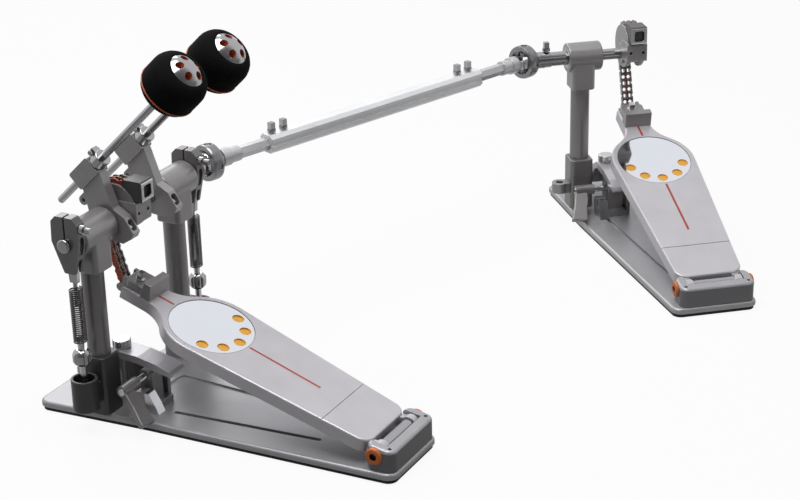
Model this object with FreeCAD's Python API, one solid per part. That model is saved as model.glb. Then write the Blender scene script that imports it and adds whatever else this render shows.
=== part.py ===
"""Double bass drum pedal: two foot pedals, two beaters and the drive shaft that links them.

Millimetres. The origin is on the floor, under the axle of the main pedal, on the middle plane of its
footboard. +X runs along the axle towards the second pedal, +Y points at the drum, +Z is up. Each pedal
is drawn in its own frame; the second one is then turned and moved to its place.
"""
import FreeCAD, Part
import math
import os

# Driving dimensions
AXLE_Z = 212.0             # axle height above the floor
POST_LEFT_X = -55.0        # main pedal's posts, measured from the footboard's middle plane
POST_RIGHT_X = 92.0
SECOND_POST_X = -65.0      # the second pedal has one post
SECOND_X = 725.8           # place of the second pedal and how far its toe turns
SECOND_Y = -269.8
SECOND_TURN = -49.37
TUBE_R = 12.0              # post tube
BASE_TOP = 11.0
MAT_T = 4.5
HEEL_Y = -343.0
TOE_Y = 76.0
SOCKET_TOP = 77.0
HEAD_BOTTOM = 172.0
HEAD_R = 18.5              # bearing housing across the top of a post
HEAD_HALF = 26.0
AXLE_R = 7.0
RUN_GAP = 0.05             # radial clearance of a turning fit
SPIGOT_R = 9.5
BEARING_R = 13.0
BEARING_L = 10.0

HINGE_Y = -320.0           # footboard hinge
HINGE_Z = 27.0
HINGE_R = 7.6
BUSHING_R = 9.2
BOARD_ANGLE = 18.3
BOARD_TOP = 6.4            # top face above the hinge axis, square to the board
BOARD_T = 5.0
SKIRT_T = 14.0
SKIRT_W = 5.0
BOARD_HEEL_S = 11.6        # distances along the board from the hinge
BOARD_HEEL_HALF = 41.0
BOARD_CORNER = 14.0
DISC_S = 228.0
DISC_R = 45.6
DISC_ZONE_R = 52.5
NECK_HALF = 17.0
NECK_ANGLE = 52.0
TOE_S = 332.0
SEAM_S = 64.8

CHAIN_PITCH = 8.0
CHAIN_PIN_R = 1.15
CHAIN_BUSH_R = 2.0
CHAIN_HALF = 7.2           # half the length of a chain pin
CHAIN_H = 6.8
PLATE_T = 0.9
CLAMP_PIN = (0.0, 133.0)   # where the chain meets the footboard, y and z
RUN_LINKS = 10             # straight links, links that leave the cam, links that stay on it
LOOSE_LINKS = 2
CAM_LINKS = 7
CAM_R = 28.0               # chain pitch radius on the cam
CAM_CY = -1.6              # cam centre from the axle
CAM_CZ = 10.0
CAM_HALF = 13.0

LEAN = 46.0                # beaters lean back from upright
ROD_OFFSET = 50.2          # rod line from the axle
ROD_R = 4.0
ROD_TAIL = -36.0           # distances along the rod, from the foot of the axle's perpendicular
HEAD_AT = 178.0
FELT_R = 31.0
FELT_HALF = 23.5
CAP_R = 18.5
NEAR_X = -19.75
FAR_X = 58.0
HOLDER_HALF = 5.75

SPRING_X = 32.5            # springs stand this far outside the posts
SPRING_Y = -3.0
SPRING_R = 6.4
WIRE_R = 0.85
SPRING_TURNS = 26
SPRING_BOTTOM = 103.0
SPRING_TOP = 163.0
ROCKER_IN = 26.6           # rocker plate, measured outwards from the post
ROCKER_OUT = 38.4
HANG_PIN = (-3.0, -24.0)    # hanger pivot from the axle, y and z
SPRING_FOOT_Z = 106.0      # lower pivot of the springs

NUT_Z = 86.0

JOINT_X = 165.0            # universal joint of the main pedal
SECOND_JOINT_X = -139.4    # and of the second pedal, in its own frame
RING_R = 21.0
RING_BORE = 15.3
RING_HALF = 6.5
PIN_R = 3.0
PIN_SLACK = 1.3            # room at the open pivot of each universal joint
HEX_AF = 12.7
SLEEVE_START = 82.0
SLEEVE_END = 414.0
SLEEVE_HALF = 10.5
KEY_SQUARE = 6.35

CLAMP_DX = 36.0            # hoop clamp, measured from the post beside it
LEVER_Y = -37.0
LEVER_Z = 45.0
LEVER_DROP = 42.0          # the wing hangs this far below level at rest
ARM_PIVOT_Y = 22.0
ARM_PIVOT_Z = 40.0
SCREW_Y = -2.0

UP = FreeCAD.Vector(0, 0, 1)
ALONG = FreeCAD.Vector(1, 0, 0)


def vec(x, y, z):
    """Return a vector."""
    return FreeCAD.Vector(x, y, z)


def box(x, y, z):
    """Return a box from three (low, high) pairs."""
    corner = vec(x[0], y[0], z[0])
    return Part.makeBox(x[1] - x[0], y[1] - y[0], z[1] - z[0], corner)


def cyl_x(r, x, y=0.0, z=0.0):
    """Return a cylinder along X between the two ends of x."""
    return Part.makeCylinder(r, x[1] - x[0], vec(x[0], y, z), ALONG)


def cyl_y(r, y, x=0.0, z=0.0):
    """Return a cylinder along Y between the two ends of y."""
    return Part.makeCylinder(r, y[1] - y[0], vec(x, y[0], z), vec(0, 1, 0))


def cyl_z(r, z, x=0.0, y=0.0):
    """Return a cylinder along Z between the two ends of z."""
    return Part.makeCylinder(r, z[1] - z[0], vec(x, y, z[0]), UP)


def prism_x(points, x):
    """Return a prism of a (y, z) outline between the two ends of x."""
    corners = [vec(x[0], y, z) for y, z in points]
    return Part.Face(Part.makePolygon(corners + corners[:1])).extrude(vec(x[1] - x[0], 0, 0))


def prism_z(points, z):
    """Return a prism of an (x, y) outline between the two ends of z."""
    corners = [vec(x, y, z[0]) for x, y in points]
    return Part.Face(Part.makePolygon(corners + corners[:1])).extrude(vec(0, 0, z[1] - z[0]))


def hex_bar(across_flats, x):
    """Return a hexagonal bar along X with a flat on top."""
    r = across_flats / math.sqrt(3)
    corners = [(r * math.cos(math.radians(a)), r * math.sin(math.radians(a))) for a in range(0, 360, 60)]
    return prism_x(corners, x)


def fuse(*shapes):
    """Return the union of shapes, with its seams removed."""
    return shapes[0].fuse(list(shapes[1:])).removeSplitter()


def upright(edge):
    """Tell whether an edge runs along Z."""
    a, b = edge.Vertexes[0].Point, edge.Vertexes[-1].Point
    return abs(a.x - b.x) < 1e-6 and abs(a.y - b.y) < 1e-6 and abs(a.z - b.z) > 1e-6


def lengthwise(edge):
    """Tell whether an edge runs along X."""
    a, b = edge.Vertexes[0].Point, edge.Vertexes[-1].Point
    return abs(a.z - b.z) < 1e-6 and abs(a.y - b.y) < 1e-6 and abs(a.x - b.x) > 1e-6


def crosswise(edge):
    """Tell whether an edge runs along Y."""
    a, b = edge.Vertexes[0].Point, edge.Vertexes[-1].Point
    return abs(a.x - b.x) < 1e-6 and abs(a.z - b.z) < 1e-6 and abs(a.y - b.y) > 1e-6


def level(z):
    """Return a test for edges that lie at height z."""
    return lambda edge: all(abs(v.Point.z - z) < 1e-6 for v in edge.Vertexes)


def soften(shape, radius, test):
    """Round the edges of a shape that pass a test."""
    return shape.makeFillet(radius, [edge for edge in shape.Edges if test(edge)])


def turned(shape, degrees, axis, centre):
    """Return a copy of a shape turned about an axis through a point."""
    copy = shape.copy()
    copy.rotate(centre, axis, degrees)
    return copy


def moved(shape, offset):
    """Return a copy of a shape moved by an offset."""
    copy = shape.copy()
    copy.translate(offset)
    return copy


def slot(start, end, half, z):
    """Return an upright slot cutter with round ends between two (x, y) points."""
    dx, dy = end[0] - start[0], end[1] - start[1]
    length = math.hypot(dx, dy)
    nx, ny = -dy / length * half, dx / length * half
    sides = [(start[0] + nx, start[1] + ny), (end[0] + nx, end[1] + ny),
             (end[0] - nx, end[1] - ny), (start[0] - nx, start[1] - ny)]
    return fuse(prism_z(sides, z), cyl_z(half, z, *start), cyl_z(half, z, *end))


def key_bolt(length, head=8.0):
    """Return a bolt along +Z with a collar and a square drum-key head."""
    half = KEY_SQUARE / 2
    shank = cyl_z(3.0, (0, length))
    collar = cyl_z(5.0, (length, length + 3.0))
    square = box((-half, half), (-half, half), (length + 3.0, length + 3.0 + head))
    return fuse(shank, collar, square)


# Base, posts and heel

def base_plate(outline, groove):
    """Return a cast base plate with its long groove and sunk middle."""
    plate = soften(prism_z(outline, (MAT_T, BASE_TOP)), 12.0, upright)
    plate = soften(plate, 3.5, level(BASE_TOP))
    sunk = [(8, HEEL_Y + 52), (36, HEEL_Y + 52), (46, -30), (14, -30)]
    plate = plate.cut(soften(prism_z(sunk, (BASE_TOP - 2.0, BASE_TOP + 1)), 6.0, upright))
    return plate.cut(slot(groove[0], groove[1], 2.6, (BASE_TOP - 4.0, BASE_TOP + 1)))


def floor_mat(outline):
    """Return the rubber mat under a base plate, a little inside its edge."""
    wire = Part.makePolygon([vec(x, y, 0) for x, y in outline + outline[:1]])
    return soften(Part.Face(wire.makeOffset2D(-2.0)).extrude(vec(0, 0, MAT_T)), 10.0, upright)


def post_socket(x):
    """Return the cast foot of a post, with the bore that takes the tube."""
    foot = soften(box((x - 15, x + 15), (-15.5, 15.5), (BASE_TOP, SOCKET_TOP)), 5.0, upright)
    foot = soften(foot, 2.0, level(SOCKET_TOP))
    return foot.cut(cyl_z(TUBE_R, (37, SOCKET_TOP + 1), x))


def post_tube(x):
    """Return a post's tube, with the narrower spigot that goes into the head."""
    tube = fuse(cyl_z(TUBE_R, (37, HEAD_BOTTOM), x), cyl_z(SPIGOT_R, (HEAD_BOTTOM - 1, 186), x))
    return tube.cut(cyl_z(SPIGOT_R - 2.0, (36, 187), x))


def bearing_head(x, low, high):
    """Return the casting on top of a post, whose housing runs from low to high along the axle."""
    block = soften(box((x - 15, x + 15), (-17.5, 13), (HEAD_BOTTOM, AXLE_Z)), 5.0, upright)
    block = soften(block, 2.0, level(HEAD_BOTTOM))
    housing = soften(cyl_x(HEAD_R, (low, high), 0, AXLE_Z), 2.0, lambda edge: edge.Closed)
    head = fuse(block, housing).cut(cyl_x(AXLE_R + 2, (low - 1, high + 1), 0, AXLE_Z))
    for start in (low - 1, high - BEARING_L):
        head = head.cut(cyl_x(BEARING_R, (start, start + BEARING_L + 1), 0, AXLE_Z))
    return head.cut(cyl_z(SPIGOT_R, (HEAD_BOTTOM - 1, 186), x))


def bearing(start):
    """Return one ball bearing of an axle as a ring."""
    bore = cyl_x(AXLE_R + RUN_GAP, (start - 1, start + BEARING_L + 1), 0, AXLE_Z)
    return cyl_x(BEARING_R, (start, start + BEARING_L), 0, AXLE_Z).cut(bore)


def bearings(low, high):
    """Return the two bearings of one head."""
    return [bearing(low), bearing(high - BEARING_L)]


def heel_block():
    """Return the heel casting with the recess of the hinge and two screw holes in its top."""
    side_view = [(HEEL_Y + 2, BASE_TOP), (HINGE_Y + 10.5, BASE_TOP), (HINGE_Y + 10.5, 39), (HEEL_Y + 2, 34)]
    block = soften(prism_x(side_view, (-45, 45)), 9.0, upright)
    block = soften(block, 3.5, lambda edge: min(v.Point.z for v in edge.Vertexes) > 30)
    block = block.cut(box((-35, 35), (HINGE_Y - 10.2, HINGE_Y + 20), (BASE_TOP + 3, 41)))
    for x in (-38, 38):
        block = block.cut(cyl_z(2.0, (28, 40), x, HEEL_Y + 9))
    return block.cut(cyl_x(BUSHING_R, (-46, 46), HINGE_Y, HINGE_Z))


def hinge_rod():
    """Return the polished hinge rod."""
    return cyl_x(HINGE_R, (-41, 41), HINGE_Y, HINGE_Z)


def hinge_bushings():
    """Return the two coloured bushings that hold the hinge rod."""
    rings = []
    for side in (-1, 1):
        ring = cyl_x(BUSHING_R, tuple(sorted((side * 37, side * 48))), HINGE_Y, HINGE_Z)
        ring = soften(ring, 2.5, lambda edge: edge.Closed and abs(edge.Vertexes[0].Point.x) > 47)
        socket = cyl_x(4.0, tuple(sorted((side * 44, side * 49))), HINGE_Y, HINGE_Z)
        rings.append(ring.cut(hinge_rod()).cut(socket))
    return rings


# Footboard, in its own frame: x across, y along the board from the hinge, z square to it

def board_outline():
    """Return the wire of the board's plan: straight sides, a round disc zone and a narrow toe."""
    drop = BOARD_HEEL_S + BOARD_CORNER - DISC_S
    tangent = math.atan2(drop, BOARD_HEEL_HALF) + math.acos(DISC_ZONE_R / math.hypot(drop, BOARD_HEEL_HALF))
    side = (DISC_ZONE_R * math.cos(tangent), DISC_S + DISC_ZONE_R * math.sin(tangent))
    shoulder = math.radians(NECK_ANGLE)
    top = (DISC_ZONE_R * math.cos(shoulder), DISC_S + DISC_ZONE_R * math.sin(shoulder))
    hollow = (top[0] - NECK_HALF) / (1 - math.cos(shoulder))
    neck = (NECK_HALF, top[1] + hollow * math.sin(shoulder))
    middle = (NECK_HALF + hollow - hollow * math.cos(shoulder / 2), neck[1] - hollow * math.sin(shoulder / 2))
    corner = BOARD_HEEL_HALF - BOARD_CORNER
    diagonal = BOARD_CORNER * math.sqrt(0.5)
    heel_mid = (corner + diagonal, BOARD_HEEL_S + BOARD_CORNER - diagonal)
    point = lambda p, sign: vec(sign * p[0], p[1], 0)
    edges = []
    for sign in (1, -1):
        start = (corner, BOARD_HEEL_S)
        rise = (BOARD_HEEL_HALF, BOARD_HEEL_S + BOARD_CORNER)
        edges.append(Part.Arc(point(start, sign), point(heel_mid, sign), point(rise, sign)).toShape())
        edges.append(Part.makeLine(point(rise, sign), point(side, sign)))
        wide = (DISC_ZONE_R, DISC_S)
        edges.append(Part.Arc(point(side, sign), point(wide, sign), point(top, sign)).toShape())
        edges.append(Part.Arc(point(top, sign), point(middle, sign), point(neck, sign)).toShape())
        edges.append(Part.makeLine(point(neck, sign), point((NECK_HALF, TOE_S), sign)))
    edges.append(Part.makeLine(vec(-corner, BOARD_HEEL_S, 0), vec(corner, BOARD_HEEL_S, 0)))
    edges.append(Part.makeLine(vec(-NECK_HALF, TOE_S, 0), vec(NECK_HALF, TOE_S, 0)))
    return Part.Wire(Part.__sortEdges__(edges))


def on_board(shape):
    """Move a shape from the board's frame to the pedal's frame at rest."""
    shape = turned(shape, BOARD_ANGLE, ALONG, vec(0, 0, 0))
    return moved(shape, vec(0, HINGE_Y, HINGE_Z))


def footboard():
    """Return the cast footboard: top plate, skirt, solid toe and the two hinge knuckles."""
    wire = board_outline()
    low = BOARD_TOP - SKIRT_T
    body = moved(Part.Face(wire).extrude(vec(0, 0, SKIRT_T)), vec(0, 0, low))
    body = soften(body, 2.0, level(BOARD_TOP))
    hollow = Part.Face(wire.makeOffset2D(-SKIRT_W)).extrude(vec(0, 0, SKIRT_T - BOARD_T))
    hollow = moved(hollow, vec(0, 0, low)).cut(box((-60, 60), (TOE_S - 36, TOE_S), (low - 1, BOARD_TOP)))
    body = body.cut(hollow)
    body = body.cut(cyl_z(DISC_R, (BOARD_TOP - 2.5, BOARD_TOP + 1), 0, DISC_S))
    seam = box((-BOARD_HEEL_HALF - 9, BOARD_HEEL_HALF + 9), (SEAM_S - 0.5, SEAM_S + 0.5), (BOARD_TOP - 1, BOARD_TOP + 1))
    body = body.cut(seam)
    for low_x, high_x in ((-34, -26), (26, 34)):
        arm = [(-2, -7.5), (30, -7), (30, 2), (14, 3), (0, 8.2)]
        knuckle = fuse(prism_x(arm, (low_x, high_x)), cyl_x(HINGE_R + 1.8, (low_x, high_x)))
        body = fuse(body, knuckle)
        body = body.cut(cyl_x(HINGE_R + RUN_GAP, (low_x - 1, high_x + 1)))
    return on_board(body)


def toe_block():
    """Return the toe stop with the chain clamp, its lugs and the pin that carries the chain."""
    stop = prism_x([(296, BOARD_TOP), (309, BOARD_TOP), (307, 24), (299, 24)], (-NECK_HALF, NECK_HALF))
    clamp = soften(box((-14, 14), (309, TOE_S - 2), (BOARD_TOP, 15)), 3.0, upright)
    along = CLAMP_PIN[0] - HINGE_Y
    rise = CLAMP_PIN[1] - HINGE_Z
    turn = math.radians(BOARD_ANGLE)
    pin_s = along * math.cos(turn) + rise * math.sin(turn)
    pin_t = rise * math.cos(turn) - along * math.sin(turn)
    lugs = []
    for ends in ((-11.5, -CHAIN_HALF - 0.4), (CHAIN_HALF + 0.4, 11.5)):
        lug = fuse(box(ends, (TOE_S, pin_s), (pin_t - 4.5, pin_t + 4.5)), cyl_x(4.5, ends, pin_s, pin_t))
        lugs.append(lug)
    pin = cyl_x(CHAIN_PIN_R, (-11.5, 11.5), pin_s, pin_t)
    bridge = box((-11.5, 11.5), (TOE_S - 2, TOE_S + 0.0), (BOARD_TOP, 15))
    cheeks = [box(ends, (TOE_S, TOE_S + 4), (pin_t - 4.5, 15)) for ends in ((-11.5, -7.6), (7.6, 11.5))]
    return [on_board(fuse(stop, clamp, bridge, *cheeks, *lugs, pin))]


def clamp_bolt():
    """Return the small bolt on top of the chain clamp."""
    return on_board(moved(fuse(cyl_z(5.0, (15, 17.5)), box((-3.2, 3.2), (-3.2, 3.2), (17, 25))), vec(-3, 320, 0)))


def mirror_disc():
    """Return the polished disc let into the board, with five shallow dimples near its heel side."""
    disc = cyl_z(DISC_R - 0.1, (BOARD_TOP - 2.5, BOARD_TOP - 0.4), 0, DISC_S)
    for step in range(5):
        angle = math.radians(-90 + (step - 2) * 36.0)
        x, y = 35.5 * math.cos(angle), DISC_S + 35.5 * math.sin(angle)
        disc = disc.cut(cyl_z(6.4, (BOARD_TOP - 1.6, BOARD_TOP + 1), x, y))
    return on_board(disc)


# Chain and cam, in a pedal's own frame

def chain_pins():
    """Return the (y, z) places of every chain pin, from the footboard clamp over the cam."""
    centre = (CAM_CY, AXLE_Z + CAM_CZ)
    dy, dz = centre[0] - CLAMP_PIN[0], centre[1] - CLAMP_PIN[1]
    heading = math.atan2(dz, dy) - math.asin(CAM_R / math.hypot(dy, dz))
    step = (CHAIN_PITCH * math.cos(heading), CHAIN_PITCH * math.sin(heading))
    pins = [(CLAMP_PIN[0] + i * step[0], CLAMP_PIN[1] + i * step[1]) for i in range(RUN_LINKS + 1)]
    last = pins[-1]
    reach = math.hypot(last[0] - centre[0], last[1] - centre[1])
    cosine = (reach ** 2 + CAM_R ** 2 - CHAIN_PITCH ** 2) / (2 * reach * CAM_R)
    angle = math.atan2(last[1] - centre[1], last[0] - centre[0]) + math.acos(cosine)
    for _ in range(LOOSE_LINKS + CAM_LINKS):
        pins.append((centre[0] + CAM_R * math.cos(angle), centre[1] + CAM_R * math.sin(angle)))
        angle += 2 * math.asin(CHAIN_PITCH / 2 / CAM_R)
    return pins


def link_plate(a, b, x):
    """Return one chain plate with round ends between two pins."""
    mid = ((a[0] + b[0]) / 2, (a[1] + b[1]) / 2)
    turn = math.degrees(math.atan2(b[1] - a[1], b[0] - a[0]))
    half = CHAIN_H / 2
    waist = box(x, (-CHAIN_PITCH / 2, CHAIN_PITCH / 2), (-half + 0.6, half - 0.6))
    ends = [cyl_x(half, x, sign * CHAIN_PITCH / 2) for sign in (-1, 1)]
    return moved(turned(fuse(waist, *ends), turn, ALONG, vec(0, 0, 0)), vec(0, *mid))


def outer_link(a, b, last_pin):
    """Return a link of three plates with its lower pin and, where it has one, its upper pin."""
    lanes = (-CHAIN_HALF, -PLATE_T / 2, CHAIN_HALF - PLATE_T)
    plates = [link_plate(a, b, (low, low + PLATE_T)) for low in lanes]
    pins = [cyl_x(CHAIN_PIN_R, (-CHAIN_HALF, CHAIN_HALF), *a)]
    if last_pin:
        pins.append(cyl_x(CHAIN_PIN_R, (-CHAIN_HALF, CHAIN_HALF), *b))
    return [fuse(*plates, *pins)]


def inner_link(a, b, slack=0.1):
    """Return the two narrow halves of an inner link, each with two bushes."""
    halves = []
    inside, outside = PLATE_T / 2 + 0.2, CHAIN_HALF - PLATE_T - 0.2
    for sign in (-1, 1):
        span = sorted((sign * inside, sign * outside))
        plates = [link_plate(a, b, (span[0], span[0] + PLATE_T)), link_plate(a, b, (span[1] - PLATE_T, span[1]))]
        bushes = [cyl_x(CHAIN_BUSH_R, span, *p) for p in (a, b)]
        half = fuse(*plates, *bushes)
        for pin in (a, b):
            half = half.cut(cyl_x(CHAIN_PIN_R + slack, (span[0] - 1, span[1] + 1), *pin))
        halves.append(half)
    return halves


def chain():
    """Return the chain as the straight run, the single links that leave the cam and the part on it."""
    pins = chain_pins()
    links = []
    for i in range(len(pins) - 1):
        if i % 2 == 0:
            links.append(inner_link(pins[i], pins[i + 1]))
        else:
            links.append(outer_link(pins[i], pins[i + 1], i != RUN_LINKS + LOOSE_LINKS - 1))
    run = [solid for link in links[:RUN_LINKS] for solid in link]
    loose = links[RUN_LINKS:RUN_LINKS + LOOSE_LINKS]
    wound = [solid for link in links[RUN_LINKS + LOOSE_LINKS:] for solid in link]
    return run, loose, wound


def cam():
    """Return the cam: drum, cheeks, hub, the slotted adjuster and the lug with two holes."""
    y, z = CAM_CY, AXLE_Z + CAM_CZ
    drum = cyl_x(CAM_R - CHAIN_H / 2 - 2.4, (-9, 9), y, z)
    cheeks = [cyl_x(CAM_R - 1, (sign * 9.5 - 1.5, sign * 9.5 + 1.5), y, z) for sign in (-1, 1)]
    hub = cyl_x(13, (-CAM_HALF, CAM_HALF), 0, AXLE_Z)
    lug = box((-CAM_HALF, CAM_HALF), (-30, -4), (AXLE_Z - 4, AXLE_Z + 20))
    lug = soften(lug, 3.0, lengthwise)
    block = box((-10, 10), (-37, -12), (AXLE_Z + 20.5, AXLE_Z + 43))
    block = soften(block, 3.0, lengthwise)
    recess = soften(box((-6.5, 6.5), (-39, -33), (AXLE_Z + 25, AXLE_Z + 38.5)), 3.0, crosswise)
    block = block.cut(recess)
    block = block.cut(cyl_x(CAM_R + CHAIN_H / 2 + 0.8, (-7.8, 7.8), y, z))
    body = fuse(drum, *cheeks, hub, lug, block)
    for x in (-8, 8):
        body = body.cut(cyl_y(2.0, (-31, -22), x, AXLE_Z + 8))
    return body.cut(cyl_x(AXLE_R, (-CAM_HALF - 1, CAM_HALF + 1), 0, AXLE_Z))


# Beaters and their holders; rod frame: x across, y away from the axle, z along the rod

def on_rod(shape, x):
    """Move a shape from the rod's frame, about the axle, to the pedal's frame."""
    return moved(turned(shape, LEAN, ALONG, vec(0, 0, 0)), vec(x, 0, AXLE_Z))


def beater_holder(x, spigot):
    """Return the cast clamp that holds a beater rod on the axle; its bore runs freely over a spigot."""
    ends = (-HOLDER_HALF, HOLDER_HALF)
    hub = cyl_x(19, ends)
    web = prism_x([(10, -15), (40, 3), (60, 5), (60, 35), (40, 35), (-14, 10)], ends)
    block = soften(box((-9, 9), (40.5, 61), (3.5, 36)), 2.5, lengthwise)
    nose = prism_x([(4.6, 18.3), (-10.9, 22.8), (-29.4, 18.9), (-31.6, 12.6), (-29, -0.2), (-13.7, -13.2)], ends)
    lug = fuse(box((-5, 5), (27, 38), (-6, 8)), cyl_x(5.5, (-5, 5), 32.5, -6))
    body = fuse(hub, web, block, nose, lug)
    body = body.cut(cyl_x(2.4, (-6, 6), 32.5, -6))
    body = body.cut(cyl_z(ROD_R + RUN_GAP, (-10, 40), 0, ROD_OFFSET))
    body = body.cut(box((-1, 1), (ROD_OFFSET, 63), (-3, 38)))
    body = body.cut(soften(box((-4.2, 4.2), (-26.5, -14), (10.5, 28)), 3.0, upright))
    body = body.cut(cyl_x(AXLE_R, (-HOLDER_HALF - 1, HOLDER_HALF + 1)))
    if spigot:
        body = body.cut(cyl_x(AXLE_R + RUN_GAP, (-HOLDER_HALF - 1, 0)))
    return on_rod(body, x)


def holder_bolts(x, tall):
    """Return a holder's clamp bolts: one across the rod block and one in the mouth of its nose."""
    rod_bolt = fuse(cyl_x(3.0, (9, 17)), hex_bar(9, (9, 13)))
    if tall:
        rod_bolt = moved(turned(key_bolt(7), 90, vec(0, 1, 0), vec(0, 0, 0)), vec(9, 0, 0))
    rod_bolt = moved(rod_bolt, vec(0, 57.0, 20))
    nose_bolt = moved(fuse(cyl_z(3.4, (10.5, 14.5)), cyl_z(2.2, (14, 18))), vec(0, -20.2, 0))
    return [on_rod(rod_bolt, x), on_rod(nose_bolt, x)]


def memory_collar(x):
    """Return the stop collar clamped on the rod above its holder."""
    ring = soften(cyl_z(9.0, (37, 48), 0, ROD_OFFSET), 1.0, level(48))
    ear = box((-4, 4), (ROD_OFFSET + 6, ROD_OFFSET + 14), (38.5, 46.5))
    screw = cyl_x(2.5, (-7, 7), ROD_OFFSET + 11, 42.5)
    body = fuse(ring, ear, screw).cut(cyl_z(ROD_R + RUN_GAP, (36, 50), 0, ROD_OFFSET))
    return on_rod(body, x)


def beater_rod(x):
    """Return a beater's round rod with a domed tail."""
    rod = cyl_z(ROD_R, (ROD_TAIL, HEAD_AT + 14), 0, ROD_OFFSET)
    return on_rod(soften(rod, 1.5, level(ROD_TAIL)), x)


def beater_head(x):
    """Return a beater's soft barrel: a lathe form, straight in the middle and drawn in at both ends."""
    low, high = HEAD_AT - FELT_HALF, HEAD_AT + FELT_HALF
    profile = [vec(0, 0, low), vec(14, 0, low), vec(FELT_R, 0, low + 15), vec(FELT_R, 0, high - 14)]
    profile += [vec(CAP_R, 0, high), vec(0, 0, high)]
    shell = [Part.makeLine(profile[0], profile[1])]
    shell.append(Part.Arc(profile[1], vec(FELT_R - 5.0, 0, low + 4.4), profile[2]).toShape())
    shell.append(Part.makeLine(profile[2], profile[3]))
    shell.append(Part.Arc(profile[3], vec(FELT_R - 3.7, 0, high - 4.1), profile[4]).toShape())
    shell.append(Part.makeLine(profile[4], profile[5]))
    shell.append(Part.makeLine(profile[5], profile[0]))
    barrel = Part.Face(Part.Wire(shell)).revolve(vec(0, 0, 0), UP, 360)
    barrel = barrel.cut(cyl_z(CAP_R, (high - 4, high + 1))).cut(cyl_z(ROD_R, (low - 1, HEAD_AT + 14)))
    return on_rod(moved(barrel, vec(0, ROD_OFFSET, 0)), x)


def beater_cap(x):
    """Return the domed metal cap on a beater, with five deep holes in a ring."""
    high = HEAD_AT + FELT_HALF
    ball = Part.makeSphere(26.0, vec(0, 0, high + 7.5 - 26.0))
    cap = ball.common(cyl_z(CAP_R, (high - 4, high + 8)))
    for step in range(5):
        angle = math.radians(72 * step)
        cap = cap.cut(cyl_z(4.0, (high - 1.5, high + 8), 11.5 * math.cos(angle), 11.5 * math.sin(angle)))
    return on_rod(moved(cap, vec(0, ROD_OFFSET, 0)), x)


# Rockers, hangers and springs; side is -1 left of the left post and +1 right of the right post

def outward(post_x, side, near, far):
    """Return the sorted X ends of a piece that lies outside a post."""
    return tuple(sorted((post_x + side * near, post_x + side * far)))


def rocker(post_x, side):
    """Return the split triangular plate that carries a spring's hanger on the axle."""
    ends = outward(post_x, side, ROCKER_IN, ROCKER_OUT)
    plate = prism_x([(-16, 24), (-10, 30), (10, 30), (16, 24), (17, 2), (4, -31), (-9.5, -31), (-17, 2)], ends)
    plate = soften(plate, 2.0, lengthwise)
    plate = moved(plate, vec(0, 0, AXLE_Z))
    plate = plate.cut(cyl_x(AXLE_R, (ends[0] - 1, ends[1] + 1), 0, AXLE_Z))
    plate = plate.cut(box((ends[0] - 1, ends[1] + 1), (-1.2, 1.2), (AXLE_Z, AXLE_Z + 32)))
    middle = post_x + side * SPRING_X
    window = slot((0, -7), (0, 7), 3.2, (12.8, 25))
    window = turned(window, 90, ALONG, vec(0, 0, 0))
    plate = plate.cut(moved(window, vec(middle, 0, AXLE_Z - 1)))
    gap = outward(post_x, side, SPRING_X - 2.8, SPRING_X + 2.8)
    plate = plate.cut(box(gap, (-30, 30), (AXLE_Z - 40, AXLE_Z - 16)))
    pin = cyl_x(2.5, ends, HANG_PIN[0], AXLE_Z + HANG_PIN[1])
    return fuse(plate, pin)


def rocker_bolts(post_x, side):
    """Return the clamp bolt in a rocker's heel side and, where the axle ends in it, the domed end bolt."""
    ends = outward(post_x, side, ROCKER_OUT, ROCKER_OUT + 5)
    dome = soften(cyl_x(7.5, ends, 0, AXLE_Z), 2.0, lambda edge: edge.Closed)
    middle = post_x + side * SPRING_X
    clamp = fuse(cyl_y(5.0, (-21.5, -15.5), middle, AXLE_Z + 18), cyl_y(3.2, (-29, -21), middle, AXLE_Z + 18))
    clamp = clamp.cut(rocker(post_x, side))
    return [dome, clamp] if side < 0 else [clamp]


def hang_line():
    """Return the length and the tilt of the line from the hanger pin to the spring's foot."""
    dy, dz = SPRING_Y - HANG_PIN[0], SPRING_FOOT_Z - AXLE_Z - HANG_PIN[1]
    return math.hypot(dy, dz), math.degrees(math.atan2(dy, -dz))


def on_hanger(shape, post_x, side):
    """Move a shape that hangs down from the origin to a hanger's place."""
    x = post_x + side * SPRING_X
    return moved(turned(shape, hang_line()[1], ALONG, vec(0, 0, 0)), vec(x, HANG_PIN[0], AXLE_Z + HANG_PIN[1]))


def hanger(post_x, side):
    """Return the flat link on the rocker's pin and the hook rod that goes into the spring."""
    plate = fuse(cyl_x(6.0, (-2.5, 2.5)), prism_x([(-6, 0), (6, 0), (4.5, -18), (-4.5, -18)], (-2.5, 2.5)))
    rod = cyl_z(2.2, (-44, -16))
    body = fuse(plate, rod).cut(cyl_x(2.5 + RUN_GAP, (-4, 4)))
    return on_hanger(body, post_x, side)


def spring_path():
    """Return the helix of a spring about Z as biarcs of a quarter turn, with straight ends."""
    steps = 4 * SPRING_TURNS
    height = SPRING_TOP - SPRING_BOTTOM
    spot = lambda t: vec(SPRING_R * math.cos(t * math.pi / 2), SPRING_R * math.sin(t * math.pi / 2), height * t / steps)
    pitch = height / SPRING_TURNS
    slope = vec(0, 2 * math.pi * SPRING_R, pitch).normalize()
    edges = [Part.makeLine(spot(0) - slope * 2 * WIRE_R, spot(0))]
    edges += [Part.Arc(spot(i), spot(i + 0.5), spot(i + 1)).toShape() for i in range(steps)]
    edges.append(Part.makeLine(spot(steps), spot(steps) + slope * 2 * WIRE_R))
    return Part.Wire(edges)


def spring_coil():
    """Return a spring standing on the origin, one unbroken round wire."""
    path = spring_path()
    start = path.Edges[0]
    ring = Part.Wire(Part.makeCircle(WIRE_R, start.valueAt(start.FirstParameter), start.tangentAt(start.FirstParameter)))
    return path.makePipeShell([ring], True, False)


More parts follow.
